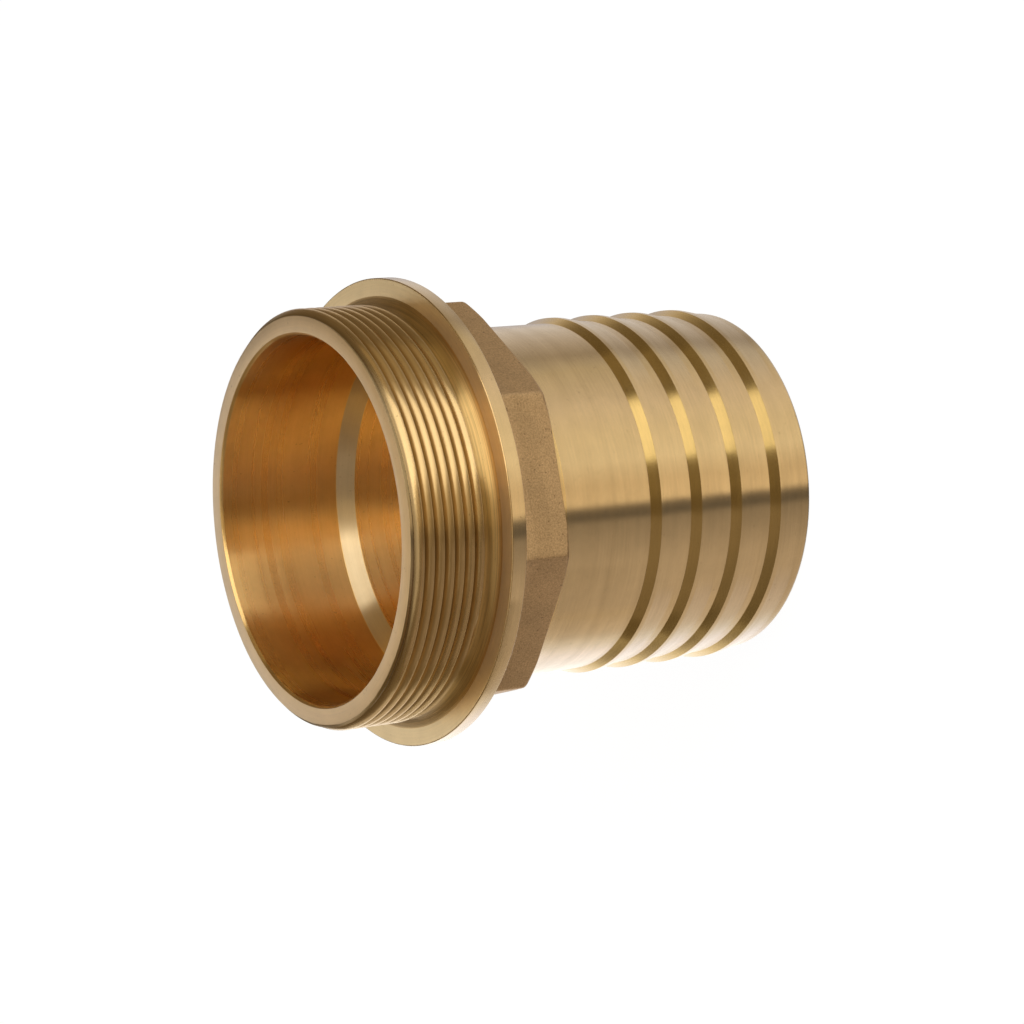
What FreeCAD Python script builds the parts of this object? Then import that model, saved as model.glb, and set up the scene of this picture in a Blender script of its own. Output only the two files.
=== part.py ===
import FreeCAD, Part
import math
import os
import Sketcher

# A hose tail, one piece of cast and turned brass. It stands on its hose end:
# the origin is the centre of that end and +Z runs up to the threaded end.

# Sizes in millimetres: name, value, what it is. The thread is the standard one,
# and the walls and steps lead from it inwards to the bore, flats, tail and passage.
SIZES = [
    ("thread_major", 87.884, "outside of the G 3 parallel thread"),
    ("thread_pitch", 2.309, "eleven threads to the inch"),
    ("thread_length", 16.7, "end face to relief neck"),
    ("thread_entry", 0.153, "first groove below the end face, on the +X side"),
    ("thread_wall", 3.863, "thread root to bore"),
    ("neck_under_root", 0.1, "relief neck below the thread root"),
    ("neck_straight", 0.9, "straight part of the relief neck"),
    ("neck_slope", 1.8, "45 degree foot of the flange in the neck"),
    ("flange_overhang", 5.418, "flange rim beyond the thread"),
    ("flange_thickness", 3.38, "front face to wrench collar"),
    ("flange_front_break", 0.55, "broken edge towards the thread"),
    ("flange_rear_break", 0.3, "broken edge towards the collar"),
    ("collar_length", 14.22, "length of the wrench flats"),
    ("collar_step", 3.45, "flats above the tail"),
    ("collar_corner_round", 1.2, "rounding of the cast corners"),
    ("collar_corner_cone", 1.0, "how far the turned corners lean back"),
    ("collar_foot", 2.6, "45 degree foot of the collar on the tail"),
    ("tail_length", 65.6, "collar to hose end"),
    ("tail_wall", 2.55, "tail to passage"),
    ("tail_end_outer_break", 0.8, "broken outer edge of the hose end"),
    ("tail_end_inner_break", 0.4, "broken inner edge of the hose end"),
    ("barb_count", 4, "ridges that grip the hose"),
    ("barb_spacing", 10.3, "foot to foot"),
    ("barb_rise", 1.17, "crest above the tail"),
    ("barb_step", 2.1, "length of the step that holds the hose back"),
    ("barb_crest", 0.9, "straight part of the crest"),
    ("barb_foot", 1.7, "plain tail between a taper and the next step"),
    ("nose_length", 2.4, "plain tail between the last taper and the hose end"),
    ("bore_step", 3.6, "threaded end's bore above the passage"),
    ("bore_depth", 28.6, "end face to the ledge in the bore"),
    ("ledge_length", 2.8, "cone from the bore down to the passage"),
    ("mouth_break", 0.8, "broken edge of the threaded end's mouth"),
]

# The 55 degree thread form, as shares of its pitch
FORM_DEPTH = 0.640327
FORM_FLAT = 1 / 6
FORM_OVERRUN = 0.1

COLLAR_FLATS = 8
CLEAR = 1.0  # how far a cutting outline runs past the metal


# A number kept together with the formula that gives it in the sheet's names
class Length:
    def __init__(self, value, formula):
        self.value = value
        self.formula = formula

    def combined(self, sign, other, value):
        text = other.formula if isinstance(other, Length) else repr(other)
        return Length(value, "(%s %s %s)" % (self.formula, sign, text))

    def __add__(self, other):
        return self.combined("+", other, self.value + plain(other))

    def __sub__(self, other):
        return self.combined("-", other, self.value - plain(other))

    def __mul__(self, other):
        return self.combined("*", other, self.value * plain(other))

    def __truediv__(self, other):
        return self.combined("/", other, self.value / plain(other))


def plain(size):
    return size.value if isinstance(size, Length) else size


def write_sheet(doc):
    sheet = doc.addObject("Spreadsheet::Sheet", "Sizes")
    lengths = {}
    for row, (name, value, meaning) in enumerate(SIZES, 1):
        sheet.set("A%d" % row, name)
        sheet.set("B%d" % row, str(value))
        sheet.set("C%d" % row, meaning)
        sheet.setAlias("B%d" % row, name)
        lengths[name] = Length(value, "Sizes." + name)
    doc.recompute()
    return lengths


# Radii and heights that several features share, worked out from the sheet
class Layout:
    def __init__(self, size):
        self.crest = size["thread_major"] / 2
        self.root = self.crest - size["thread_pitch"] * FORM_DEPTH
        self.bore = self.root - size["thread_wall"]
        self.passage = self.bore - size["bore_step"]
        self.tail = self.passage + size["tail_wall"]
        self.flat = self.tail + size["collar_step"]
        self.neck = self.root - size["neck_under_root"]
        self.rim = self.crest + size["flange_overhang"]
        self.barb = self.tail + size["barb_rise"]

        self.collar_rear = size["tail_length"]
        self.flange_rear = self.collar_rear + size["collar_length"]
        self.flange_front = self.flange_rear + size["flange_thickness"]
        self.neck_rear = self.flange_front + size["neck_slope"]
        self.thread_rear = self.neck_rear + size["neck_straight"]
        self.top = self.thread_rear + size["thread_length"]


def sketch_on(body, role, name):
    plane = next(p for p in body.Origin.OriginFeatures if p.Role == role)
    sketch = body.newObject("Sketcher::SketchObject", name)
    sketch.AttachmentSupport = [(plane, "")]
    sketch.MapMode = "FlatFace"
    return sketch


# Holds the end of a line at its distances from the sketch's two axes
def hold_end(sketch, line, corner):
    for kind, axis, distance in zip(("DistanceX", "DistanceY"), (-2, -1), corner):
        if plain(distance) == 0:
            sketch.addConstraint(Sketcher.Constraint("PointOnObject", line, 2, axis))
        else:
            held = Sketcher.Constraint(kind, -1, 1, line, 2, distance.value)
            index = sketch.addConstraint(held)
            sketch.setExpression("Constraints[%d]" % index, distance.formula)


# Draws a closed outline through corners that are given as (radius, height)
def draw_outline(sketch, corners):
    for index, corner in enumerate(corners):
        start = FreeCAD.Vector(*[plain(v) for v in corners[index - 1]], 0)
        finish = FreeCAD.Vector(*[plain(v) for v in corner], 0)
        sketch.addGeometry(Part.LineSegment(start, finish))
    for index, corner in enumerate(corners):
        after = (index + 1) % len(corners)
        sketch.addConstraint(Sketcher.Constraint("Coincident", index, 2, after, 1))
        hold_end(sketch, index, corner)


def turn(body, kind, name, sketch):
    feature = body.newObject("PartDesign::" + kind, name)
    feature.Profile = sketch
    feature.ReferenceAxis = (sketch, ["V_Axis"])
    feature.Angle = 360
    return feature


# The eight-sided wrench collar as cast, with its upright corners rounded
def add_collar(doc, body, size, at):
    plane = next(p for p in body.Origin.OriginFeatures if p.Role == "XY_Plane")
    half_turn = math.pi / COLLAR_FLATS
    collar = body.newObject("PartDesign::AdditivePrism", "CollarFlats")
    collar.AttachmentSupport = [(plane, "")]
    collar.MapMode = "FlatFace"
    collar.AttachmentOffset = FreeCAD.Placement(
        FreeCAD.Vector(0, 0, at.collar_rear.value),
        FreeCAD.Rotation(FreeCAD.Vector(0, 0, 1), math.degrees(half_turn)),
    )
    collar.setExpression("AttachmentOffset.Base.z", at.collar_rear.formula)
    collar.Polygon = COLLAR_FLATS
    sharp_corner = at.flat / math.cos(half_turn)
    collar.setExpression("Circumradius", sharp_corner.formula)
    collar.setExpression("Height", size["collar_length"].formula)
    doc.recompute()

    upright = []
    for index, edge in enumerate(collar.Shape.Edges, 1):
        box = edge.BoundBox
        if box.ZLength > box.XLength + box.YLength:
            upright.append("Edge%d" % index)
    corners = body.newObject("PartDesign::Fillet", "CollarCorners")
    corners.Base = (collar, upright)
    corners.setExpression("Radius", size["collar_corner_round"].formula)
    doc.recompute()

    # The lathe takes the corners off in a shallow cone towards the tail
    sketch = sketch_on(body, "XZ_Plane", "CornerConeOutline")
    inner = at.tail + size["collar_foot"]
    outer = sharp_corner + CLEAR
    lean = size["collar_corner_cone"] * ((outer - inner) / (sharp_corner - inner))
    draw_outline(sketch, [
        (inner, at.collar_rear - CLEAR),
        (outer, at.collar_rear - CLEAR),
        (outer, at.collar_rear + lean),
        (inner, at.collar_rear),
    ])
    return turn(body, "Groove", "CornerCone", sketch)


# The outside as turned in one outline: tail with its barbs, collar foot, flange,
# relief neck and the plain cylinder for the thread with its 45 degree start
def add_turned_outside(body, size, at):
    nose_break = size["tail_end_outer_break"]
    outline = [(0, 0), (at.tail - nose_break, 0), (at.tail, nose_break)]

    # From the hose end up, each barb is a taper, a crest and a step back down
    step, crest = size["barb_step"], size["barb_crest"]
    taper = size["barb_spacing"] - step - crest - size["barb_foot"]
    for barb in range(int(size["barb_count"].value)):
        taper_start = size["nose_length"] + size["barb_spacing"] * barb
        crest_start = taper_start + taper
        step_start = crest_start + crest
        outline += [
            (at.tail, taper_start),
            (at.barb, crest_start),
            (at.barb, step_start),
            (at.tail, step_start + step),
        ]

    front, rear = size["flange_front_break"], size["flange_rear_break"]
    foot, slope = size["collar_foot"], size["neck_slope"]
    outline += [
        (at.tail, at.collar_rear - foot),
        (at.tail + foot, at.collar_rear),
        (at.tail, at.collar_rear),
        (at.tail, at.flange_rear),
        (at.rim - rear, at.flange_rear),
        (at.rim, at.flange_rear + rear),
        (at.rim, at.flange_front - front),
        (at.rim - front, at.flange_front),
        (at.neck + slope, at.flange_front),
        (at.neck, at.neck_rear),
        (at.neck, at.thread_rear),
        (at.crest, at.thread_rear),
        (at.crest, at.top - (at.crest - at.root)),
        (at.root, at.top),
        (0, at.top),
    ]
    sketch = sketch_on(body, "XZ_Plane", "OutsideOutline")
    draw_outline(sketch, outline)
    return turn(body, "Revolution", "TurnedOutside", sketch)


# The way through: the hose tail's passage, a conical ledge and the wider bore
# of the threaded end
def cut_bore(body, size, at):
    ledge_front = at.top - size["bore_depth"]
    ledge_rear = ledge_front - size["ledge_length"]
    end_break, mouth = size["tail_end_inner_break"], size["mouth_break"]
    sketch = sketch_on(body, "XZ_Plane", "BoreOutline")
    draw_outline(sketch, [
        (0, 0),
        (at.passage + end_break, 0),
        (at.passage, end_break),
        (at.passage, ledge_rear),
        (at.bore, ledge_front),
        (at.bore, at.top - mouth),
        (at.bore + mouth, at.top),
        (0, at.top),
    ])
    return turn(body, "Groove", "Bore", sketch)


# The right-hand thread: one groove that comes in from above the end face, winds
# down at the standard pitch and runs out in the relief neck. A flat crest is left
# between its turns, and its section stays narrower than the pitch past the crest.
def cut_thread(body, size, at):
    pitch = size["thread_pitch"]
    half_mouth = pitch * ((1 - FORM_FLAT) / 2)
    overrun = pitch * FORM_OVERRUN
    half_outer = half_mouth * (1 + FORM_OVERRUN / FORM_DEPTH)
    outer = at.crest + overrun
    start = at.top + pitch - size["thread_entry"]
    sketch = sketch_on(body, "XZ_Plane", "GrooveSection")
    draw_outline(sketch, [
        (at.root, start),
        (outer, start - half_outer),
        (outer, start + half_outer),
    ])
    groove = body.newObject("PartDesign::SubtractiveHelix", "Thread")
    groove.Profile = sketch
    groove.ReferenceAxis = (sketch, ["V_Axis"])
    groove.Mode = 0
    groove.LeftHanded = False
    groove.Reversed = True
    groove.setExpression("Pitch", pitch.formula)
    groove.setExpression("Height", (start - at.thread_rear + half_mouth).formula)
    return groove


def check_document(doc, cuts):
    for item in doc.Objects:
        if "Invalid" in item.State or "Error" in item.State:
            raise RuntimeError(item.Name + " could not be worked out")
    for cut in cuts:
        if cut.Shape.Volume >= cut.BaseFeature.Shape.Volume:
            raise RuntimeError(cut.Name + " takes no metal away")


def main():
    doc = FreeCAD.newDocument("HoseTail")
    size = write_sheet(doc)
    at = Layout(size)
    body = doc.addObject("PartDesign::Body", "HoseBarbTail")
    body.Label = "hose_barb_tail"
    body.Placement = FreeCAD.Placement()
    cone = add_collar(doc, body, size, at)
    doc.recompute()
    add_turned_outside(body, size, at)
    doc.recompute()
    bore = cut_bore(body, size, at)
    doc.recompute()
    thread = cut_thread(body, size, at)
    doc.recompute()
    check_document(doc, (cone, bore, thread))

    tail = body.Shape
    if tail.isNull() or not tail.isValid() or len(tail.Solids) != 1:
        raise RuntimeError("the tail is not one sound solid")
    os.makedirs("parts", exist_ok=True)
    tail.exportStep("parts/" + body.Label + ".step")
    box = tail.optimalBoundingBox()
    print("box", round(box.XLength, 2), round(box.YLength, 2), round(box.ZLength, 2))
    print("volume", round(tail.Volume, 1), "faces", len(tail.Faces))


main()
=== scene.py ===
import math

import bmesh
import bpy
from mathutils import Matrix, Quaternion, Vector


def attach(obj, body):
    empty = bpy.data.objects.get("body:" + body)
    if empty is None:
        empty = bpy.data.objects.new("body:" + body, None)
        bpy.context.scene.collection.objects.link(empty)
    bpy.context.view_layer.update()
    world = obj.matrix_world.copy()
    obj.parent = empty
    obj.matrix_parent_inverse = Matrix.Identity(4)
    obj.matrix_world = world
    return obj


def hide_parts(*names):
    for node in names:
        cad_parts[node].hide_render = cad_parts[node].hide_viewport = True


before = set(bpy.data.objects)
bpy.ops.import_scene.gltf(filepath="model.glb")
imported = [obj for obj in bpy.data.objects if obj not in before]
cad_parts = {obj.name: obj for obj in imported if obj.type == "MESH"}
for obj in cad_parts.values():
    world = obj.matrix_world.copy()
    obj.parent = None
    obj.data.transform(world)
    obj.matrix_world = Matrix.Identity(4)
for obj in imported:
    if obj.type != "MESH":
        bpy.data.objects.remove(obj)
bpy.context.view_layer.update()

mm = 0.001
fullTurn = 2 * math.pi
middleHeight = 60  # what the cards and lamps are centred on
photoTurn = 9.1  # degrees from the x axis back to the side that is on top in the photograph
bpy.context.scene.view_settings.view_transform = "Standard"


def startObject(name, make):
    bpy.ops.object.select_all(action="DESELECT")
    make()
    piece = bpy.context.active_object
    piece.name = name
    piece.data.name = name
    return piece


def only(piece):
    bpy.ops.object.select_all(action="DESELECT")
    piece.select_set(True)
    bpy.context.view_layer.objects.active = piece


# A direction round the object, counted as in the photograph: 0 is its top, 90 its near side
def photoSide(turnedBy):
    azimuth = -math.radians(turnedBy + photoTurn)
    return Vector((math.cos(azimuth), math.sin(azimuth), 0))


# Camera, fitted to the photograph
cameraFit = {
    "aim": (-2.405, 0.754, 52.1),
    "distance": 676.716,
    "azimuth": -96.001,
    "elevation": 31.889,
    "roll": -95.85,
    "lens": 110.295,
    "sensor": 36,
    "clipStart": 10,
}


def placeCamera(fit):
    around, above = math.radians(fit["azimuth"]), math.radians(fit["elevation"])
    away = Vector((math.cos(above) * math.cos(around), math.cos(above) * math.sin(around), math.sin(above)))
    aim = Vector(fit["aim"]) * mm
    bpy.ops.object.camera_add(location=aim + away * fit["distance"] * mm)
    camera = bpy.context.active_object
    camera.name = "photoCamera"
    upright = (-away).to_track_quat("-Z", "Y")
    camera.rotation_mode = "QUATERNION"
    camera.rotation_quaternion = upright @ Quaternion((0, 0, 1), math.radians(fit["roll"]))
    camera.data.lens = fit["lens"]
    camera.data.sensor_width = fit["sensor"]
    camera.data.clip_start = fit["clipStart"] * mm
    camera.data.dof.use_dof = False
    bpy.context.scene.camera = camera


placeCamera(cameraFit)
print("camera placed")

# Outline of the turned body, as (radius, height) in millimetres
body = {
    "segments": 240,
    "weld": 0.02,
    "smoothTo": 28,
    "holdRing": 0.15,  # rings this near to an edge keep it crisp
    "softEdge": 0.12,
    "top": 102.59,
    "mouthBreak": 0.5,
    "mouthRound": 0.14,
    "mouthInset": 0.1,
    "mouthFoot": ((0.06, -0.02), (0, -0.18)),
    "bore": 38.6,
    "boreFloor": 74.0,
    "ledgeEnd": 71.2,
    "passage": 35.0,
    "passageBreak": 0.5,
    "tail": 37.55,
    "tailRound": 1.0,
    "nose": 2.4,
    "barbSpacing": 10.3,
    "barbs": 4,
    "barbTop": 38.72,
    "taper": 5.6,
    "taperFoot": (0.25, 0.02),
    "taperHead": (0.3, 0.04),
    "land": 0.9,
    "landStart": 0.1,
    "crestRound": 0.12,
    "footHollow": 0.35,
    "stepLean": 30,
    "coveRadius": 3.05,
    "collarRear": 65.6,
    "collarCorner": 44.279,
    "collarFlat": 41.0,
    "collarInner": 40.3,
    "cornerRound": 1.2,
    "cornerCrowding": 1.5,
    "castEdge": 1.8,
    "flatEdge": 0.3,
    "cornerReach": 9,
    "cornerFade": 1.5,
    "collarFillet": 0.6,
    "wallRings": {"bore": 88, "passage": 36, "tail": 50, "collar": 73},
    "flangeRear": 79.82,
    "flangeFront": 83.2,
    "rim": 49.34,
    "rimRearRound": 0.25,
    "rimRound": 0.22,
    "neck": 42.363,
    "neckFillet": 3.6,
    "filletEnd": 196,
    "filletCrease": 6,
    "creaseRing": 0.06,
    "threadRear": 85.9,
    "threadRoot": 42.463,
    "startBreak": 0.06,
}


def arc(centre, radius, start, end, count):
    points = []
    for index in range(count + 1):
        angle = math.radians(start + (end - start) * index / count)
        points.append((centre[0] + radius * math.cos(angle), centre[1] + radius * math.sin(angle)))
    return points


# A corner cut off a little, so that it shades softly
def softened(corner, before, after, size):
    points = []
    for other in (before, after):
        away = math.dist(corner, other)
        points.append(tuple(at + (to - at) * size / away for at, to in zip(corner, other)))
    return points


# From the end of the thread through the mouth, down the bore and out at the hose end
def boreOutline(b):
    mouth, lip, turn = b["bore"] + b["mouthBreak"], b["top"] - b["mouthBreak"], b["mouthRound"]
    centre = (mouth + b["mouthInset"], b["top"] - turn)
    floor, ledgeEnd = (b["bore"], b["boreFloor"]), (b["passage"], b["ledgeEnd"])
    end, rings = b["passageBreak"], b["wallRings"]
    points = [(b["threadRoot"] - b["softEdge"], b["top"]), (centre[0] + b["holdRing"], b["top"])]
    points += arc(centre, turn, 90, 135, 2)
    points += [(b["bore"] + out, lip + up) for out, up in b["mouthFoot"]]
    points += [(b["bore"], rings["bore"])]
    points += softened(floor, (b["bore"], b["top"]), ledgeEnd, b["softEdge"])
    points += softened(ledgeEnd, floor, (b["passage"], 0), b["softEdge"])
    points += [(b["passage"], rings["passage"])]
    return points + arc((b["passage"] + end, end), end, 180, 270, 2)


# A step down from one radius to a smaller one: a crisp crest, a cone and a small hollow foot
def barbStep(high, low, begin, b):
    crest, hollow = b["crestRound"], b["footHollow"]
    lean = math.radians(b["stepLean"])
    along = (high - low - (crest + hollow) * (1 - math.cos(lean))) / math.sin(lean)
    finish = begin + (crest + hollow) * math.sin(lean) + along * math.cos(lean)
    down = arc((high - crest, begin), crest, 0, b["stepLean"], 3)
    foot = arc((low + hollow, finish), hollow, 180 + b["stepLean"], 180, 4)
    return [(high, begin - b["holdRing"])] + down + foot + [(low, finish + b["holdRing"])]


def tailOutline(b):
    tail, turn = b["tail"], b["tailRound"]
    points = arc((tail - turn, turn), turn, -90, 0, 5)
    (footReach, footRise), (headReach, headDrop) = b["taperFoot"], b["taperHead"]
    for index in range(b["barbs"]):
        begin = b["nose"] + b["barbSpacing"] * index
        crest = begin + b["taper"]
        points += [(tail, begin - footReach), (tail + footRise, begin + footReach)]
        points += [(b["barbTop"] - headDrop, crest - headReach), (b["barbTop"], crest + b["landStart"])]
        points += barbStep(b["barbTop"], tail, crest + b["land"], b)
    return points + [(tail, b["wallRings"]["tail"])]


def collarOutline(b):
    cove, edge, fillet = b["coveRadius"], b["castEdge"], b["collarFillet"]
    corner, rear, flange = b["collarCorner"], b["collarRear"], b["flangeRear"]
    points = arc((b["tail"] + cove, rear - cove), cove, 180, 90, 9)
    points += arc((corner - edge, rear + edge), edge, -90, 0, 7)
    points += [(corner, b["wallRings"]["collar"])]
    return points + arc((corner + fillet, flange - fillet), fillet, 180, 90, 2)


def flangeOutline(b):
    rear, turn, hold = b["rimRearRound"], b["rimRound"], b["holdRing"]
    front, fillet, crease = b["flangeFront"], b["neckFillet"], math.radians(b["filletCrease"])
    points = [(b["rim"] - rear - hold, b["flangeRear"])]
    points += arc((b["rim"] - rear, b["flangeRear"] + rear), rear, -90, 0, 3)
    points += [(b["rim"], front - turn - hold)]
    points += arc((b["rim"] - turn, front - turn), turn, 0, 90, 4)
    centre = (b["neck"] + fillet, front + fillet * math.cos(crease))
    points += [(b["rim"] - turn - hold, front)]
    points += [(centre[0] - fillet * math.sin(crease) + b["creaseRing"], front)]
    return points + arc(centre, fillet, 270 - b["filletCrease"], b["filletEnd"], 12)


def bodyOutline(b):
    return boreOutline(b) + tailOutline(b) + collarOutline(b) + flangeOutline(b)


def drawOutline(points):
    bpy.ops.mesh.primitive_plane_add(size=mm)
    bpy.ops.object.mode_set(mode="EDIT")
    bpy.ops.mesh.merge(type="CENTER")
    bpy.ops.transform.translate(value=(points[0][0] * mm, 0, points[0][1] * mm))
    for before, after in zip(points, points[1:]):
        move = ((after[0] - before[0]) * mm, 0, (after[1] - before[1]) * mm)
        bpy.ops.mesh.extrude_region_move(TRANSFORM_OT_translate={"value": move})


def turnBody(b):
    drawOutline(bodyOutline(b))
    bpy.ops.mesh.select_all(action="SELECT")
    bpy.ops.mesh.spin(steps=b["segments"], angle=fullTurn, center=(0, 0, 0), axis=(0, 0, 1))
    bpy.ops.mesh.select_all(action="SELECT")
    bpy.ops.mesh.remove_doubles(threshold=b["weld"] * mm)
    bpy.ops.object.mode_set(mode="OBJECT")


# Radius of the eight-sided collar at an angle, with its corners rounded
def collarRadius(b, angle):
    half = math.pi / 8
    fromCorner = abs((angle % (2 * half)) - half)
    fromFlat = half - fromCorner
    sharp = b["collarFlat"] / math.cos(fromFlat)
    centre = (b["collarFlat"] - b["cornerRound"]) / math.cos(half)
    reach = math.atan2(b["cornerRound"] * math.sin(half), centre + b["cornerRound"] * math.cos(half))
    if fromCorner >= reach:
        return sharp
    along = centre * math.cos(fromCorner)
    across = centre * math.sin(fromCorner)
    return along + math.sqrt(b["cornerRound"] ** 2 - across ** 2)


# The rings of the collar go to the eight flats, and crowd towards its corners. Its rear edge
# is crisp along the flats and round at the corners.
def shapeCollar(piece, b):
    half = math.pi / 8
    corner, rear, edge, inner = b["collarCorner"], b["collarRear"], b["castEdge"], b["collarInner"]
    close = 0.01
    mesh = bmesh.new()
    mesh.from_mesh(piece.data)
    for vertex in mesh.verts:
        radius = math.hypot(vertex.co.x, vertex.co.y) / mm
        height = vertex.co.z / mm
        onCollar = rear - close < height < b["flangeRear"] + close
        if not (onCollar and inner < radius < corner + b["collarFillet"] + close):
            continue
        angle = math.atan2(vertex.co.y, vertex.co.x)
        nearest = (math.floor(angle / (2 * half)) + 0.5) * 2 * half
        apart = (angle - nearest) / half
        crowded = nearest + math.copysign(half * abs(apart) ** b["cornerCrowding"], apart)
        if radius > b["collarFlat"]:
            flat = collarRadius(b, crowded)
            if height < rear + edge + close:
                near = max(0, 1 - abs(crowded - nearest) / math.radians(b["cornerReach"])) ** b["cornerFade"]
                share = (b["flatEdge"] + (edge - b["flatEdge"]) * near) / edge
                radius = corner - (corner - radius) * share
                height = rear + (height - rear) * share
            radius -= corner - flat
        vertex.co = Vector((radius * math.cos(crowded), radius * math.sin(crowded), height)) * mm
    mesh.to_mesh(piece.data)
    mesh.free()


tail = startObject("hoseTailBrass", lambda: turnBody(body))
shapeCollar(tail, body)
print("body turned", len(tail.data.vertices))

# Thread: one pitch of its form, wound on a helix
thread = {
    "pitch": 2.309,
    "crest": 43.942,
    "root": 42.463,
    "rearRound": 0.08,
    "rootRound": 0.12,
    "shoulder": 15,
    "flank": 23.5,
    "entry": 0.153,
    "turns": 10,
    "weld": 0.01,
    "neckGap": 0.11,
    "rearSlope": 4,
    "bridgeReach": 0.2,
}


# One pitch from root to root, going up: the rear flank, a crisp edge at the crest, a long round
# shoulder that faces the mouth, and the front flank
def threadForm(t):
    lean = 90 - t["flank"]
    slope = math.tan(math.radians(t["flank"]))
    leanSin, leanCos = math.sin(math.radians(lean)), math.cos(math.radians(lean))
    topSin, topCos = math.sin(math.radians(t["shoulder"])), math.cos(math.radians(t["shoulder"]))
    depth, rear, root = t["crest"] - t["root"], t["rearRound"], t["rootRound"]
    rise = root * leanSin + (depth - (rear + root) * (1 - leanCos)) * slope + rear * leanSin
    fall = rear * topSin + (depth - rear * (1 - topCos) - root * (1 - leanCos)) * slope + root * leanSin
    front = (t["pitch"] - rise - fall) / (leanSin - topSin - (topCos - leanCos) * slope)
    top = t["crest"] - rear
    centre = (top - (front - rear) * topCos, rise - (front - rear) * topSin)
    start = arc((t["root"] + root, 0), root, 180, 180 - lean, 2)
    edge = arc((top, rise), rear, -lean, t["shoulder"], 5)
    shoulder = arc(centre, front, t["shoulder"], lean, 6)
    finish = arc((t["root"] + root, t["pitch"]), root, 180 + lean, 180, 2)
    return start + edge + shoulder[1:] + finish


def windThread(t, b):
    bottom = b["top"] - t["entry"] - t["pitch"] * (t["turns"] - 1)
    drawOutline([(radius, bottom + height) for radius, height in threadForm(t)])
    bpy.ops.object.mode_set(mode="OBJECT")
    piece = bpy.context.active_object
    bpy.ops.object.transform_apply(location=True, rotation=True, scale=True)
    wind = piece.modifiers.new("wind", "SCREW")
    wind.angle = fullTurn
    wind.steps = b["segments"]
    wind.render_steps = b["segments"]
    wind.iterations = t["turns"]
    wind.screw_offset = t["pitch"] * mm
    wind.use_merge_vertices = True
    wind.merge_threshold = t["weld"] * mm
    bpy.ops.object.modifier_apply(modifier=wind.name)


# The turns end in a 45 degree start at the mouth and in a steep face at the neck
def trimThread(piece, t, b):
    only(piece)
    mesh = bmesh.new()
    mesh.from_mesh(piece.data)
    for vertex in mesh.verts:
        radius = math.hypot(vertex.co.x, vertex.co.y) / mm
        height = vertex.co.z / mm
        limit = min(
            t["root"] + max(b["top"] - height, 0),
            b["neck"] + t["neckGap"] + max(height - b["threadRear"], 0) * t["rearSlope"],
        )
        if radius > limit:
            vertex.co.x *= limit / radius
            vertex.co.y *= limit / radius
    mesh.to_mesh(piece.data)
    mesh.free()
    bpy.ops.object.mode_set(mode="EDIT")
    for height, upwards in ((b["top"] - b["startBreak"], True), (b["threadRear"], False)):
        bpy.ops.mesh.select_all(action="SELECT")
        bpy.ops.mesh.bisect(
            plane_co=(0, 0, height * mm), plane_no=(0, 0, 1),
            clear_inner=not upwards, clear_outer=upwards, threshold=t["weld"] / 10 * mm,
        )
    bpy.ops.mesh.select_all(action="SELECT")
    bpy.ops.mesh.remove_doubles(threshold=t["weld"] * mm)
    bpy.ops.object.mode_set(mode="OBJECT")


turns = startObject("threadTurns", lambda: windThread(thread, body))
trimThread(turns, thread, body)
print("thread wound", len(turns.data.vertices))


# Bridges the rings that lie open on both sides of a height
def bridgeAt(mesh, height, reach):
    ends = [e for e in mesh.edges if e.is_boundary]
    near = [e for e in ends if all(abs(v.co.z / mm - height) < reach for v in e.verts)]
    bmesh.ops.bridge_loops(mesh, edges=near)


def joinThread(piece, band, t, b):
    only(piece)
    band.select_set(True)
    bpy.ops.object.join()
    mesh = bmesh.new()
    mesh.from_mesh(piece.data)
    bridgeAt(mesh, b["threadRear"], t["bridgeReach"])
    bridgeAt(mesh, b["top"], t["bridgeReach"])
    bmesh.ops.recalc_face_normals(mesh, faces=mesh.faces)
    left = [e for e in mesh.edges if not e.is_manifold]
    print("edges left open", len(left), "volume", round(mesh.calc_volume() / mm ** 3))
    mesh.to_mesh(piece.data)
    mesh.free()


joinThread(tail, turns, thread, body)
only(tail)
bpy.ops.object.shade_smooth_by_angle(angle=math.radians(body["smoothTo"]))
print("thread joined", len(tail.data.polygons))


# Materials
noiseRange = (0.3, 0.7)  # most of a noise's values lie between these
pitSharpness = 14
holeSharpness = 10


def node(tree, kind, **values):
    made = tree.nodes.new(kind)
    for key, value in values.items():
        setattr(made, key, value)
    return made


# A math node on two inputs, each a number or another node's output
def maths(tree, operation, first, second=None, clamp=False):
    made = node(tree, "ShaderNodeMath", operation=operation, use_clamp=clamp)
    for socket, value in zip(made.inputs, (first, second)):
        if isinstance(value, (int, float)):
            socket.default_value = value
        elif value is not None:
            tree.links.new(value, socket)
    return made.outputs[0]


def newGroup(name, inputs, outputs):
    group = bpy.data.node_groups.new(name, "ShaderNodeTree")
    for label, start in inputs:
        socket = group.interface.new_socket(label, in_out="INPUT", socket_type="NodeSocketFloat")
        socket.default_value = start
    for label in outputs:
        group.interface.new_socket(label, in_out="OUTPUT", socket_type="NodeSocketFloat")
    return group, node(group, "NodeGroupInput"), node(group, "NodeGroupOutput")


def useGroup(tree, group, **values):
    used = node(tree, "ShaderNodeGroup", node_tree=group)
    for label, value in values.items():
        used.inputs[label].default_value = value
    return used


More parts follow.
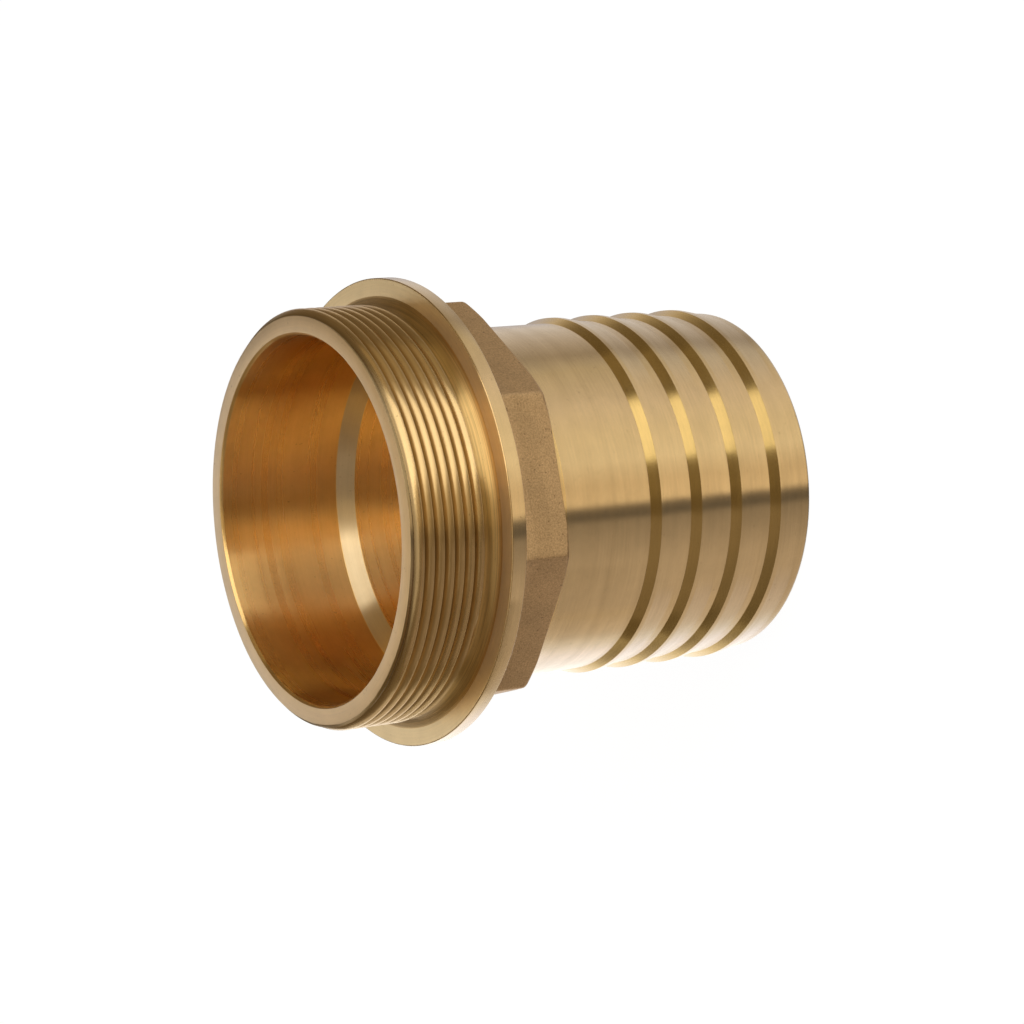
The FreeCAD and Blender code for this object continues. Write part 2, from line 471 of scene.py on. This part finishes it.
# Radius and height in millimetres, and the direction round the axis
def axisPlace(tree):
    place = node(tree, "ShaderNodeTexCoord")
    parts = node(tree, "ShaderNodeSeparateXYZ")
    tree.links.new(place.outputs["Object"], parts.inputs[0])
    across = maths(tree, "MULTIPLY", parts.outputs["X"], parts.outputs["X"])
    along = maths(tree, "MULTIPLY", parts.outputs["Y"], parts.outputs["Y"])
    radius = maths(tree, "SQRT", maths(tree, "ADD", across, along))
    direction = [maths(tree, "DIVIDE", parts.outputs[axis], radius) for axis in "XY"]
    height = maths(tree, "DIVIDE", parts.outputs["Z"], mm)
    return maths(tree, "DIVIDE", radius, mm), height, direction


# Fine lines that the lathe leaves round the axis
def latheLinesGroup():
    inputs = [("Lines per mm", 3.0), ("Length", 2.0), ("Roughness", 0.6)]
    group, given, out = newGroup("latheLines", inputs, ["Lines", "Broad"])
    radius, height, direction = axisPlace(group)
    place = node(group, "ShaderNodeCombineXYZ")
    spread = [maths(group, "MULTIPLY", way, given.outputs["Length"]) for way in direction]
    group.links.new(spread[0], place.inputs["X"])
    group.links.new(spread[1], place.inputs["Y"])
    group.links.new(maths(group, "MULTIPLY", height, given.outputs["Lines per mm"]), place.inputs["Z"])
    lines = node(group, "ShaderNodeTexNoise", noise_dimensions="4D")
    group.links.new(place.outputs[0], lines.inputs["Vector"])
    group.links.new(maths(group, "MULTIPLY", radius, given.outputs["Lines per mm"]), lines.inputs["W"])
    lines.inputs["Scale"].default_value = 1
    lines.inputs["Detail"].default_value = 3
    group.links.new(given.outputs["Roughness"], lines.inputs["Roughness"])
    broad = node(group, "ShaderNodeTexNoise", noise_dimensions="4D")
    group.links.new(place.outputs[0], broad.inputs["Vector"])
    group.links.new(maths(group, "MULTIPLY", radius, given.outputs["Lines per mm"]), broad.inputs["W"])
    broad.inputs["Scale"].default_value = 0.16
    broad.inputs["Detail"].default_value = 2
    group.links.new(lines.outputs["Fac"], out.inputs["Lines"])
    group.links.new(broad.outputs["Fac"], out.inputs["Broad"])
    return group


# Small dark pits and a slow mottling of the surface
def agingGroup():
    inputs = [("Pit size", 0.5), ("Pit share", 0.3), ("Mottle size", 9.0)]
    group, given, out = newGroup("aging", inputs, ["Pits", "Mottle"])
    place = node(group, "ShaderNodeTexCoord")
    pits = node(group, "ShaderNodeTexNoise")
    group.links.new(place.outputs["Object"], pits.inputs["Vector"])
    group.links.new(maths(group, "DIVIDE", 1 / mm, given.outputs["Pit size"]), pits.inputs["Scale"])
    pits.inputs["Detail"].default_value = 1
    edge = maths(group, "SUBTRACT", given.outputs["Pit share"], pits.outputs["Fac"])
    group.links.new(maths(group, "MULTIPLY", edge, pitSharpness, clamp=True), out.inputs["Pits"])
    mottle = node(group, "ShaderNodeTexNoise")
    group.links.new(place.outputs["Object"], mottle.inputs["Vector"])
    group.links.new(maths(group, "DIVIDE", 1 / mm, given.outputs["Mottle size"]), mottle.inputs["Scale"])
    mottle.inputs["Detail"].default_value = 4
    mottle.inputs["Roughness"].default_value = 0.65
    group.links.new(mottle.outputs["Fac"], out.inputs["Mottle"])
    return group


# The sand-cast skin: round grains and holes between them
def castGrainGroup():
    inputs = [("Grain size", 0.5), ("Hole size", 1.0), ("Hole share", 0.34)]
    group, given, out = newGroup("castGrain", inputs, ["Grain", "Holes"])
    place = node(group, "ShaderNodeTexCoord")
    grain = node(group, "ShaderNodeTexNoise")
    group.links.new(place.outputs["Object"], grain.inputs["Vector"])
    group.links.new(maths(group, "DIVIDE", 1 / mm, given.outputs["Grain size"]), grain.inputs["Scale"])
    grain.inputs["Detail"].default_value = 3
    grain.inputs["Roughness"].default_value = 0.6
    holes = node(group, "ShaderNodeTexNoise")
    group.links.new(place.outputs["Object"], holes.inputs["Vector"])
    group.links.new(maths(group, "DIVIDE", 1 / mm, given.outputs["Hole size"]), holes.inputs["Scale"])
    holes.inputs["Detail"].default_value = 2
    edge = maths(group, "SUBTRACT", given.outputs["Hole share"], holes.outputs["Fac"])
    group.links.new(grain.outputs["Fac"], out.inputs["Grain"])
    group.links.new(maths(group, "MULTIPLY", edge, holeSharpness, clamp=True), out.inputs["Holes"])
    return group


def mixColour(tree, share, first, second, blend="MIX"):
    mix = node(tree, "ShaderNodeMix", data_type="RGBA", blend_type=blend)
    given = {"Factor": share, "A": first, "B": second}
    for label, value in given.items():
        socket = mix.inputs[label]
        if isinstance(value, tuple):
            socket.default_value = (*value, 1)
        elif isinstance(value, (int, float)):
            socket.default_value = value
        else:
            tree.links.new(value, socket)
    return mix.outputs["Result"]


def remap(tree, value, low, high, toLow, toHigh):
    made = node(tree, "ShaderNodeMapRange")
    tree.links.new(value, made.inputs["Value"])
    for label, number in zip(("From Min", "From Max", "To Min", "To Max"), (low, high, toLow, toHigh)):
        made.inputs[label].default_value = number
    return made.outputs["Result"]


latheLines = latheLinesGroup()
aging = agingGroup()
castGrain = castGrainGroup()


# Turned brass. The paler colour takes over where the surface is seen at a low angle: a painted sheen that
# stands in for the whiter reflection there.
def turnedMaterial(name, m):
    material = bpy.data.materials.new(name)
    material.use_nodes = True
    tree = material.node_tree
    shader = tree.nodes["Principled BSDF"]
    shader.inputs["Metallic"].default_value = m["metal"]
    shader.inputs["Anisotropic"].default_value = m["anisotropic"]
    shader.inputs["Anisotropic Rotation"].default_value = 0.25
    tangent = node(tree, "ShaderNodeTangent", direction_type="RADIAL", axis="Z")
    tree.links.new(tangent.outputs["Tangent"], shader.inputs["Tangent"])

    lines = useGroup(tree, latheLines, **m["lines"])
    wear = useGroup(tree, aging, **m["aging"])
    facing = node(tree, "ShaderNodeLayerWeight")
    facing.inputs["Blend"].default_value = 0.5
    pale = remap(tree, facing.outputs["Facing"], m["sheenFrom"], 1.0, 0, m["sheenMost"])
    tone = mixColour(tree, pale, m["colour"], m["pale"])
    streak = remap(tree, lines.outputs["Lines"], *noiseRange, 1 - m["streaks"], 1 + m["streaks"])
    mottle = remap(tree, wear.outputs["Mottle"], *noiseRange, 1 - m["mottle"], 1 + m["mottle"])
    shade = maths(tree, "MULTIPLY", streak, mottle)
    # Painted shade: darker towards the root of the thread's grooves
    if m["grooveShade"]:
        shade = maths(tree, "MULTIPLY", shade, remap(tree, axisPlace(tree)[0], *m["grooveShade"]))
    tone = mixColour(tree, 1.0, tone, shade, "MULTIPLY")
    pitted = maths(tree, "MULTIPLY", wear.outputs["Pits"], m["pitDepth"])
    tone = mixColour(tree, pitted, tone, m["pitColour"])
    tree.links.new(tone, shader.inputs["Base Color"])
    least, most = m["roughness"] - m["uneven"], m["roughness"] + m["uneven"]
    rough = remap(tree, lines.outputs["Broad"], *noiseRange, least, most)
    tree.links.new(rough, shader.inputs["Roughness"])
    bump = node(tree, "ShaderNodeBump")
    bump.inputs["Strength"].default_value = m["bump"]
    bump.inputs["Distance"].default_value = m["bumpDepth"] * mm
    tree.links.new(lines.outputs["Lines"], bump.inputs["Height"])
    tree.links.new(bump.outputs["Normal"], shader.inputs["Normal"])
    return material


def castMaterial(name, m):
    material = bpy.data.materials.new(name)
    material.use_nodes = True
    tree = material.node_tree
    shader = tree.nodes["Principled BSDF"]
    shader.inputs["Metallic"].default_value = 1
    grain = useGroup(tree, castGrain, **m["grain"])
    wear = useGroup(tree, aging, **m["aging"])
    raised = remap(tree, grain.outputs["Grain"], *m["grainRange"], 0, 1)
    tone = mixColour(tree, raised, m["low"], m["high"])
    mottle = remap(tree, wear.outputs["Mottle"], *noiseRange, 1 - m["mottle"], 1 + m["mottle"])
    tone = mixColour(tree, 1.0, tone, mottle, "MULTIPLY")
    pitted = maths(tree, "MULTIPLY", grain.outputs["Holes"], m["pitDepth"])
    tone = mixColour(tree, pitted, tone, m["pitColour"])
    tree.links.new(tone, shader.inputs["Base Color"])
    shader.inputs["Roughness"].default_value = m["roughness"]
    sunk = maths(tree, "MULTIPLY", grain.outputs["Holes"], m["holeDepth"])
    height = maths(tree, "SUBTRACT", grain.outputs["Grain"], sunk)
    bump = node(tree, "ShaderNodeBump")
    bump.inputs["Strength"].default_value = m["bump"]
    bump.inputs["Distance"].default_value = m["bumpDepth"] * mm
    tree.links.new(height, bump.inputs["Height"])
    tree.links.new(bump.outputs["Normal"], shader.inputs["Normal"])
    return material


turnedLook = {
    "colour": (0.76, 0.52, 0.235),
    # the pale colour is a painted sheen, taken on at low viewing angles
    "pale": (0.93, 0.88, 0.79),
    "sheenFrom": 0.42,
    "sheenMost": 0.8,
    "pitColour": (0.25, 0.14, 0.06),
    "pitDepth": 0.35,
    "streaks": 0.05,
    "mottle": 0.05,
    "roughness": 0.23,
    "uneven": 0.03,
    "anisotropic": 1.0,
    "metal": 1.0,
    # painted shade, darker towards the roots of the thread's grooves
    "grooveShade": None,  # from one radius to another, the shade at each
    "bump": 0.25,
    "bumpDepth": 0.02,
    "lines": {"Lines per mm": 2.4, "Length": 2.5, "Roughness": 0.7},
    "aging": {"Pit size": 0.7, "Pit share": 0.27, "Mottle size": 6.0},
}
# A darker copy of the turned brass on the neck: painted shade that holds its highlight down
neckShadedLook = dict(
    turnedLook, colour=(0.68, 0.45, 0.17), streaks=0.35, bump=0.7, anisotropic=0.9, roughness=0.32,
    lines={"Lines per mm": 3.2, "Length": 1.2, "Roughness": 0.75},
)
# A paler copy of the brass on the flange's face: painted light that brightens what it reflects
faceLitLook = dict(turnedLook, colour=(0.9, 0.69, 0.36), anisotropic=0.7, roughness=0.3, metal=0.85)
endLook = dict(turnedLook, colour=(0.75, 0.53, 0.275), anisotropic=0.3, roughness=0.42, metal=0.75)
# A darker copy of the turned brass on the barbs' steps: painted shade that keeps their bands and highlights
# down
stepShadedLook = dict(
    turnedLook, colour=(0.67, 0.46, 0.165), sheenFrom=0.6, sheenMost=0.5, anisotropic=0.8, roughness=0.22,
)
# A paler, more orange copy of the brass in the bore: painted light for the light that bounces inside it
boreLitLook = dict(
    turnedLook, colour=(0.87, 0.575, 0.225), sheenFrom=0.8, sheenMost=0.1, roughness=0.28,
    anisotropic=1.0, streaks=0.035, bump=0.0,
    lines={"Lines per mm": 3.0, "Length": 1.5, "Roughness": 0.75},
)
# A darker copy of the turned brass in the cove under the collar: painted shade in the crease
coveShadedLook = dict(turnedLook, colour=(0.58, 0.41, 0.2), sheenFrom=0.7, sheenMost=0.2)
# A paler, greyer copy of the bore's brass on the ledge: painted light
ledgeLitLook = dict(boreLitLook, colour=(0.74, 0.57, 0.33), roughness=0.3)
# A darker copy of the turned brass on the thread (painted shade), with painted shade deeper in its grooves
threadShadedLook = dict(
    turnedLook, colour=(0.72, 0.50, 0.23), sheenFrom=0.6, sheenMost=0.25, anisotropic=0.7, roughness=0.28,
    grooveShade=(42.5, 43.6, 0.62, 1.05),
    lines={"Lines per mm": 3.0, "Length": 3.0, "Roughness": 0.7},
)
castLook = {
    "low": (0.50, 0.31, 0.135),
    "high": (0.70, 0.46, 0.22),
    "grainRange": (0.35, 0.65),
    "pitColour": (0.22, 0.12, 0.05),
    "pitDepth": 0.7,
    "holeDepth": 0.5,
    "mottle": 0.08,
    "roughness": 0.5,
    "bump": 0.4,
    "bumpDepth": 0.12,
    "grain": {"Grain size": 0.36, "Hole size": 0.8, "Hole share": 0.34},
    "aging": {"Pit size": 0.7, "Pit share": 0.27, "Mottle size": 8.0},
}
zones = {
    "turned": turnedMaterial("turnedBrass", turnedLook),
    "cast": castMaterial("castBrass", castLook),
    "neck": turnedMaterial("neckShadedBrass", neckShadedLook),
    "face": turnedMaterial("facedLitBrass", faceLitLook),
    "end": turnedMaterial("endBrass", endLook),
    "step": turnedMaterial("stepShadedBrass", stepShadedLook),
    "cove": turnedMaterial("coveShadedBrass", coveShadedLook),
    "bore": turnedMaterial("boreLitBrass", boreLitLook),
    "ledge": turnedMaterial("ledgeLitBrass", ledgeLitLook),
    "thread": turnedMaterial("threadShadedBrass", threadShadedLook),
}
for zoneMaterial in zones.values():
    tail.data.materials.append(zoneMaterial)


zoneEdges = {
    "close": 0.01,
    "inside": 0.1,
    "endDepth": 0.05,
    "endFrom": 39,
    "faceFrom": 45.5,
    "boreTo": 39.6,
    "passageTo": 36.4,
    "collarFrom": 40,
    "threadFrom": 42,
    "barbsTo": 50,
    "tailTo": 60,
    "coveFrom": 55,
    "stepFacing": 0.2,
    "coveFacing": -0.25,
}


# The finish at a place on the body, and with it that zone's painted light and shade. The tail's outside lies
# within the bore's radius, so below the collar only the passage counts as bore.
def zoneAt(radius, height, outward, b, z):
    inside, close = z["inside"], z["close"]
    if height > b["top"] - z["endDepth"] and radius > z["endFrom"]:
        return "end"
    if abs(height - b["flangeFront"]) < close and radius > z["faceFrom"]:
        return "face"
    if b["passage"] + inside < radius < b["bore"] - inside / 2 and b["ledgeEnd"] < height < b["boreFloor"]:
        return "ledge"
    if radius < z["boreTo"] and (height > z["tailTo"] or radius < z["passageTo"]):
        return "bore"
    if height > b["threadRear"] - inside and radius > z["threadFrom"]:
        return "thread"
    if height > b["flangeFront"] - close and radius < b["neck"] + b["neckFillet"]:
        return "neck"
    if b["collarRear"] + inside < height < b["flangeRear"] - inside and radius > z["collarFrom"]:
        return "cast"
    if height < z["barbsTo"] and radius > b["tail"] + close * 2 and outward.z > z["stepFacing"]:
        return "step"
    if z["coveFrom"] < height < b["collarRear"] + inside and outward.z < z["coveFacing"]:
        return "cove"
    return "turned"


def assignZones(piece, b):
    order = list(zones)
    for face in piece.data.polygons:
        place = face.center / mm
        zone = zoneAt(math.hypot(place.x, place.y), place.z, face.normal, b, zoneEdges)
        face.material_index = order.index(zone)


assignZones(tail, body)
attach(tail, "root")
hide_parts("hose_barb_tail")
print("materials made")


# Stage and light. For the camera and in the metal the floor is white, less a share that keeps
# the shadow.
floorLook = {"size": 3.2, "plain": (0.8, 0.8, 0.8), "seen": (0.1, 0.1, 0.1), "glow": 0.97}


def floorMaterial(f):
    material = bpy.data.materials.new("floorWhite")
    material.use_nodes = True
    tree = material.node_tree
    tree.nodes.remove(tree.nodes["Principled BSDF"])
    path = node(tree, "ShaderNodeLightPath")
    seen = maths(tree, "ADD", path.outputs["Is Camera Ray"], path.outputs["Is Glossy Ray"])
    seen = maths(tree, "ADD", seen, path.outputs["Is Transmission Ray"], clamp=True)
    matte = node(tree, "ShaderNodeBsdfDiffuse")
    tree.links.new(mixColour(tree, seen, f["plain"], f["seen"]), matte.inputs["Color"])
    white = node(tree, "ShaderNodeEmission")
    tree.links.new(maths(tree, "MULTIPLY", seen, f["glow"]), white.inputs["Strength"])
    both = node(tree, "ShaderNodeAddShader")
    tree.links.new(matte.outputs[0], both.inputs[0])
    tree.links.new(white.outputs[0], both.inputs[1])
    tree.links.new(both.outputs[0], tree.nodes["Material Output"].inputs["Surface"])
    return material


def makeFloor(f):
    floor = startObject("paleFloor", lambda: bpy.ops.mesh.primitive_plane_add(size=f["size"]))
    floor.data.materials.append(floorMaterial(f))
    floor.visible_glossy = False


# A bowl of cards under the object, out of the camera's sight, is what the metal shows. Each step
# gives a side of the photograph, with its level and tint there, and blends into the next. The cards
# close in on the near side with depth, so that tapers and straight walls show them in line.
cards = {
    "radius": 1500,
    "brim": -230,
    "deep": (0.25, 0.35),  # this near to the bowl's pole, the cards keep this share of their level
    "full": 0.6,
    "strength": 1.5,
    "closing": 0.56,
    "tints": {"plain": (1, 1, 1), "warm": (1.08, 1, 0.92), "rosy": (1.06, 1, 1.04), "cool": (1, 1, 1.1)},
    "steps": [
        (-74, 0.55, "rosy"), (-60, 0.7, "warm"), (-32, 0.5, "warm"), (-15, 0.35, "warm"),
        (-2, 0.6, "plain"), (28, 0.78, "cool"), (52, 0.88, "plain"), (68, 0.98, "plain"),
        (83, 0.78, "warm"), (95, 0.88, "warm"), (98, 0.2, "rosy"), (104, 0.13, "cool"),
        (107, 0.32, "rosy"), (136, 0.52, "rosy"), (166, 0.56, "rosy"), (190, 0.67, "warm"),
        (202, 0.88, "plain"), (214, 1.15, "cool"), (240, 1.4, "plain"), (266, 1.45, "plain"),
        (271, 0.4, "warm"),
    ],
}


def cardMaterial(c):
    material = bpy.data.materials.new("cardTones")
    material.use_nodes = True
    tree = material.node_tree
    tree.nodes.remove(tree.nodes["Principled BSDF"])
    place = node(tree, "ShaderNodeTexCoord")
    parts = node(tree, "ShaderNodeSeparateXYZ")
    tree.links.new(place.outputs["Object"], parts.inputs[0])
    around = maths(tree, "ARCTAN2", parts.outputs["Y"], parts.outputs["X"])
    across = node(tree, "ShaderNodeVectorMath", operation="LENGTH")
    flat = node(tree, "ShaderNodeCombineXYZ")
    tree.links.new(parts.outputs["X"], flat.inputs["X"])
    tree.links.new(parts.outputs["Y"], flat.inputs["Y"])
    tree.links.new(flat.outputs[0], across.inputs[0])
    widest = c["radius"] * mm * math.cos(math.radians(cameraFit["elevation"]))
    flatness = maths(tree, "DIVIDE", across.outputs["Value"], widest)
    closing = maths(tree, "POWER", flatness, c["closing"])
    fromNear = maths(tree, "ADD", maths(tree, "MULTIPLY", around, -360 / fullTurn), -90 - photoTurn)
    wrapped = node(tree, "ShaderNodeMath", operation="WRAP")
    tree.links.new(fromNear, wrapped.inputs[0])
    wrapped.inputs[1].default_value = 180
    wrapped.inputs[2].default_value = -180
    first = c["steps"][0][0]
    side = maths(tree, "ADD", maths(tree, "MULTIPLY", wrapped.outputs[0], closing), 90 - first)
    turnedBy = maths(tree, "DIVIDE", side, 360)
    ramp = node(tree, "ShaderNodeValToRGB")
    tree.links.new(maths(tree, "FRACT", turnedBy), ramp.inputs["Fac"])
    stops = ramp.color_ramp.elements
    stops[0].position, stops[1].position = 0, 1
    for side, level, tint in c["steps"]:
        colour = (*(level / c["strength"] * part for part in c["tints"][tint]), 1)
        if side == first:
            stops[0].color = colour
            stops[-1].color = colour
        else:
            stops.new((side - first) / 360).color = colour
    glow = node(tree, "ShaderNodeEmission")
    near, share = c["deep"]
    strength = remap(tree, flatness, near, c["full"], c["strength"] * share, c["strength"])
    tree.links.new(strength, glow.inputs["Strength"])
    tree.links.new(ramp.outputs["Color"], glow.inputs["Color"])
    tree.links.new(glow.outputs[0], tree.nodes["Material Output"].inputs["Surface"])
    return material


# Only the metal shows a card: it lights nothing else, gives no shadow and is hidden from the camera
def finishCard(card, material):
    card.data.materials.append(material)
    card.visible_camera = False
    card.visible_diffuse = False
    card.visible_shadow = False
    card.visible_transmission = False


def hangCards(c):
    def drawBowl():
        bpy.ops.mesh.primitive_uv_sphere_add(
            segments=96, ring_count=48, radius=c["radius"] * mm, location=(0, 0, middleHeight * mm),
        )
        bpy.ops.object.mode_set(mode="EDIT")
        bpy.ops.mesh.select_all(action="SELECT")
        brim = (0, 0, (middleHeight + c["brim"]) * mm)
        bpy.ops.mesh.bisect(plane_co=brim, plane_no=(0, 0, 1), clear_outer=True)
        bpy.ops.object.mode_set(mode="OBJECT")

    finishCard(startObject("cardBowl", drawBowl), cardMaterial(c))


# Two dim cards beside the tail darken what the thread shows, as it is duller than the tail
flags = {
    "radius": 150,
    "low": 12,
    "spans": {"topFlag": (-60, 8, 80), "bottomFlag": (176, 224, 42)},  # from side to side, and up to
    "colour": (1, 0.82, 0.6),
    "level": 0.15,
}


def flagMaterial(f):
    material = bpy.data.materials.new("flagBrown")
    material.use_nodes = True
    tree = material.node_tree
    tree.nodes.remove(tree.nodes["Principled BSDF"])
    glow = node(tree, "ShaderNodeEmission")
    glow.inputs["Color"].default_value = (*f["colour"], 1)
    glow.inputs["Strength"].default_value = f["level"]
    tree.links.new(glow.outputs[0], tree.nodes["Material Output"].inputs["Surface"])
    return material


def hangFlag(name, span, f):
    def drawFlag():
        begin, end, high = span
        first = photoSide(begin) * f["radius"] + Vector((0, 0, f["low"]))
        bpy.ops.mesh.primitive_plane_add(size=mm)
        bpy.ops.object.mode_set(mode="EDIT")
        bpy.ops.mesh.merge(type="CENTER")
        bpy.ops.transform.translate(value=first * mm)
        rise = (0, 0, (high - f["low"]) * mm)
        bpy.ops.mesh.extrude_region_move(TRANSFORM_OT_translate={"value": rise})
        bpy.ops.mesh.select_all(action="SELECT")
        bpy.ops.mesh.spin(steps=24, angle=math.radians(end - begin), center=(0, 0, 0), axis=(0, 0, -1))
        bpy.ops.object.mode_set(mode="OBJECT")

    finishCard(startObject(name, drawFlag), flagMaterial(f))


worldLook = {"colour": (1, 0.76, 0.48), "level": 0.165}


# The camera sees white around the floor, and the object is lit by a dim warm room
def makeWorld(w):
    world = bpy.data.worlds.new("studio")
    bpy.context.scene.world = world
    world.use_nodes = True
    tree = world.node_tree
    dim = tree.nodes["Background"]
    dim.inputs["Color"].default_value = (*w["colour"], 1)
    dim.inputs["Strength"].default_value = w["level"]
    white = node(tree, "ShaderNodeBackground")
    white.inputs["Color"].default_value = (1, 1, 1, 1)
    white.inputs["Strength"].default_value = 1
    path = node(tree, "ShaderNodeLightPath")
    mix = node(tree, "ShaderNodeMixShader")
    tree.links.new(path.outputs["Is Camera Ray"], mix.inputs["Fac"])
    tree.links.new(dim.outputs[0], mix.inputs[1])
    tree.links.new(white.outputs[0], mix.inputs[2])
    tree.links.new(mix.outputs[0], tree.nodes["World Output"].inputs["Surface"])


lights = {
    "keyStrip": {
        "side": 47, "away": 470, "height": 470, "size": (465, 920), "roll": -12, "level": 1.36,
    },
    "sideFill": {
        "side": 82, "away": 424, "height": 531, "size": (265, 600), "level": 0.27,
        "colour": (1, 0.82, 0.5),
    },
    "nearFill": {
        "side": 139, "away": 600, "height": 270, "size": (800, 240), "level": 0.17,
        "colour": (1, 0.9, 0.95),
    },
    "topFill": {
        "side": 7, "away": 550, "height": 340, "size": (300, 420), "roll": -20, "level": 0.2,
        "colour": (1, 0.82, 0.5),
    },
    "overhead": {"side": 90, "away": 1, "height": 1160, "size": (1200, 1200), "level": 0.45},
    "backSoftbox": {"side": 262, "away": 620, "height": 450, "size": (340, 620), "level": 0.68},
    "lowerFill": {"side": 207, "away": 560, "height": 125, "size": (420, 140), "level": 0.5},
}


def makeLight(name, light):
    out = photoSide(light["side"])
    place = (out * light["away"] + Vector((0, 0, light["height"]))) * mm
    aim = Vector((0, 0, middleHeight)) * mm
    bpy.ops.object.light_add(type="AREA", location=place)
    lamp = bpy.context.active_object
    lamp.name = name
    lamp.rotation_mode = "QUATERNION"
    facing = (aim - place).to_track_quat("-Z", "Y")
    lamp.rotation_quaternion = facing @ Quaternion((0, 0, 1), math.radians(light.get("roll", 0)))
    lamp.data.shape = "RECTANGLE"
    lamp.data.size, lamp.data.size_y = (side * mm for side in light["size"])
    lamp.data.energy = light["level"] * math.pi * lamp.data.size * lamp.data.size_y
    lamp.data.color = light.get("colour", (1, 1, 1))
    lamp.visible_camera = False


makeFloor(floorLook)
hangCards(cards)
for flagName, span in flags["spans"].items():
    hangFlag(flagName, span, flags)
makeWorld(worldLook)
for lightName, light in lights.items():
    makeLight(lightName, light)
print("stage and lights made")
